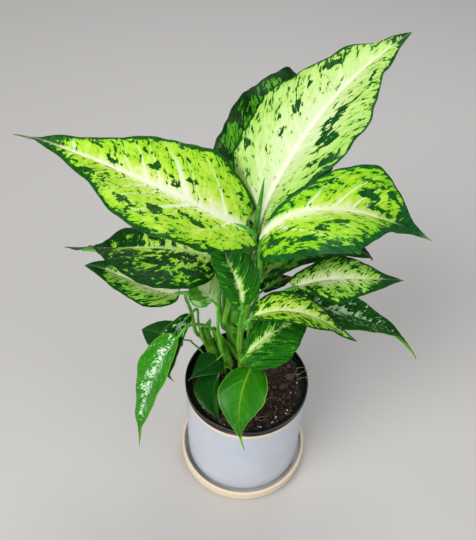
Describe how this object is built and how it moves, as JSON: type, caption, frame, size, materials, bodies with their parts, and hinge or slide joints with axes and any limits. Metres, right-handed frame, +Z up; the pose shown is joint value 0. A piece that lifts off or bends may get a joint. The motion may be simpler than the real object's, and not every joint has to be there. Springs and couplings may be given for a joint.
{
  "type": "potted dieffenbachia",
  "caption": "Bushy dieffenbachia houseplant with cream-marked pointed leaves, in a black nursery pot set in a glazed stoneware pot on its saucer.",
  "frame": {"origin": "centre of the saucer's flat underside, on the surface it stands on", "axes": "+Z up, +X to the right and -Y towards the viewer, who looks at the pot from the front"},
  "size_m": [0.3737, 0.2586, 0.4695],
  "materials": {
    "glazed_stoneware": "glossy pale grey-blue glaze, bare clay at the rims",
    "black_plastic": "moulded, slightly glossy",
    "potting_soil": "crumbly, damp, with bark and perlite",
    "cane": "waxy, ringed with leaf scars",
    "leaf_cream": "satin, cream and lime between dark green margins",
    "leaf_blotched": "satin, dark green with pale feathered patches",
    "leaf_plain": "satin, plain green with a paler midrib"
  },
  "bodies": {
    "root": {"saucer": "glazed_stoneware", "cover_pot": "glazed_stoneware", "grow_pot": "black_plastic", "soil": "potting_soil", "cane_main": "cane", "cane_left": "cane", "cane_middle": "cane", "cane_right": "cane", "spear_leaf": "leaf_plain", "leaf_top_right": "leaf_cream", "leaf_top_back": "leaf_cream", "leaf_top_left": "leaf_cream", "leaf_upper_right": "leaf_cream", "leaf_left_second": "leaf_blotched", "leaf_left_third": "leaf_cream", "leaf_centre": "leaf_blotched", "leaf_inner_left": "leaf_blotched", "leaf_right_behind": "leaf_blotched", "leaf_right_middle": "leaf_cream", "leaf_right_front": "leaf_cream", "leaf_right_low": "leaf_blotched", "leaf_lower_right": "leaf_blotched", "leaf_front_heart": "leaf_plain", "leaf_seedling_left": "leaf_plain", "leaf_seedling_front": "leaf_plain", "leaf_left_hanging": "leaf_blotched", "leaf_left_behind": "leaf_blotched", "leaf_left_plain": "leaf_plain", "leaf_inner_right": "leaf_blotched", "leaf_back_left": "leaf_cream", "leaf_back_right": "leaf_cream"}
  },
  "joints": []
}
